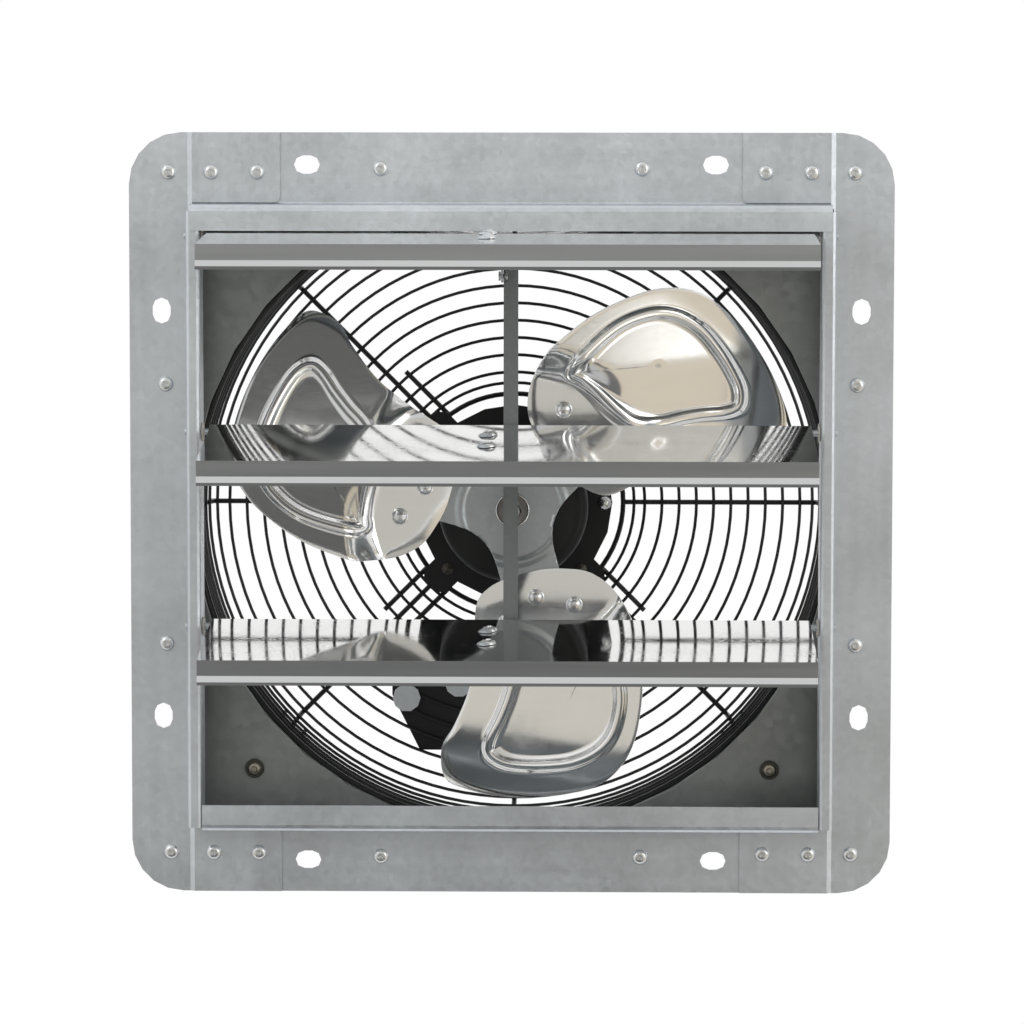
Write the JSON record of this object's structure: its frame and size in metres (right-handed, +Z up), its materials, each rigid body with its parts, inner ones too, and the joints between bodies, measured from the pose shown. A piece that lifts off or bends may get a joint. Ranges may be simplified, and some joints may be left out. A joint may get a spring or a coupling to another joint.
{
  "type": "shutter exhaust fan",
  "caption": "Square wall exhaust fan: galvanised frame with gravity shutters linked by a tie bar, a bladed rotor behind them, and a round black wire guard that carries the motor.",
  "frame": {"origin": "centre of the wall opening, in the plane of the wall face that the rear of the frame rests on", "axes": "+Y through the opening from outdoors, where the shutters are, to indoors, where the motor is; +Z up; +X to the right seen from outdoors"},
  "size_m": [0.5, 0.2844, 0.5],
  "materials": {
    "galvanised": "spangled zinc",
    "dark_galvanised": "dull zinc",
    "polished_sheet": "mirror polished",
    "zinc_screws": "yellow zinc",
    "black_wire": "satin black",
    "black_motor": "satin black",
    "black_plastic": "matt",
    "pale_nylon": "matt",
    "bright_steel": "machined",
    "laminated_steel": "dull"
  },
  "bodies": {
    "housing": {"side_frame_left": "galvanised", "side_frame_right": "galvanised", "top_frame": "galvanised", "bottom_frame": "galvanised", "wall_sleeve": "galvanised", "box_clamp_screw_1": "galvanised", "box_clamp_screw_2": "galvanised", "orifice_panel": "dark_galvanised", "guard_bolt_1": "zinc_screws", "guard_bolt_2": "zinc_screws", "guard_bolt_3": "zinc_screws", "guard_bolt_4": "zinc_screws", "guard_nut_1": "zinc_screws", "guard_nut_2": "zinc_screws", "guard_nut_3": "zinc_screws", "guard_nut_4": "zinc_screws", "guard_back": "black_wire", "guard_side": "black_wire", "motor_front_cover": "black_motor", "motor_shell": "black_motor", "motor_rear_cover": "black_motor", "motor_mount_plate": "black_motor", "guard_clamp_1": "black_motor", "guard_clamp_2": "black_motor", "guard_clamp_3": "black_motor", "guard_clamp_4": "black_motor", "junction_box": "black_plastic", "junction_box_lid": "black_plastic", "cable_gland": "pale_nylon", "pivot_bush_top_left": "pale_nylon", "pivot_bush_top_right": "pale_nylon", "pivot_bush_middle_left": "pale_nylon", "pivot_bush_middle_right": "pale_nylon", "pivot_bush_bottom_left": "pale_nylon", "pivot_bush_bottom_right": "pale_nylon", "front_bearing": "bright_steel", "rear_bearing": "bright_steel", "motor_screw_1": "bright_steel", "motor_screw_2": "bright_steel", "motor_screw_3": "bright_steel", "motor_screw_4": "bright_steel", "motor_stator": "laminated_steel"},
    "fan": {"motor_shaft": "bright_steel", "motor_rotor": "laminated_steel", "fan_spider": "galvanised", "fan_blade_1": "polished_sheet", "fan_blade_2": "polished_sheet", "fan_blade_3": "polished_sheet", "hub_washer": "bright_steel", "hub_nut": "bright_steel"},
    "shutter_top": {"shutter_top": "polished_sheet", "link_arm_top": "galvanised"},
    "shutter_middle": {"shutter_middle": "polished_sheet", "link_arm_middle": "galvanised"},
    "shutter_bottom": {"shutter_bottom": "polished_sheet", "link_arm_bottom": "galvanised"},
    "tie_bar": {"tie_bar": "galvanised", "link_pin_top": "bright_steel", "link_pin_middle": "bright_steel", "link_pin_bottom": "bright_steel"}
  },
  "joints": [
    {"name": "fan_spin", "type": "hinge", "parent": "housing", "child": "fan", "pos_m": [0, 0.06, -0.002], "axis": [0, 1, 0], "continuous": true},
    {"name": "shutter_top_hinge", "type": "hinge", "parent": "housing", "child": "shutter_top", "pos_m": [0, -0.0135, 0.1826], "axis": [1, 0, 0], "range_deg": [0, 82]},
    {"name": "shutter_middle_hinge", "type": "hinge", "parent": "housing", "child": "shutter_middle", "pos_m": [0, -0.0135, 0.0548], "axis": [1, 0, 0], "range_deg": [0, 82]},
    {"name": "shutter_bottom_hinge", "type": "hinge", "parent": "housing", "child": "shutter_bottom", "pos_m": [0, -0.0135, -0.073], "axis": [1, 0, 0], "range_deg": [0, 82]},
    {"name": "tie_bar_pivot", "type": "hinge", "parent": "shutter_top", "child": "tie_bar", "pos_m": [0, -0.0055, 0.1566], "axis": [1, 0, 0], "range_deg": [-82, 0]}
  ],
  "couplings": [
    {"joint": "shutter_middle_hinge", "follows": "shutter_top_hinge", "ratio": 1},
    {"joint": "shutter_bottom_hinge", "follows": "shutter_top_hinge", "ratio": 1},
    {"joint": "tie_bar_pivot", "follows": "shutter_top_hinge", "ratio": -1}
  ]
}
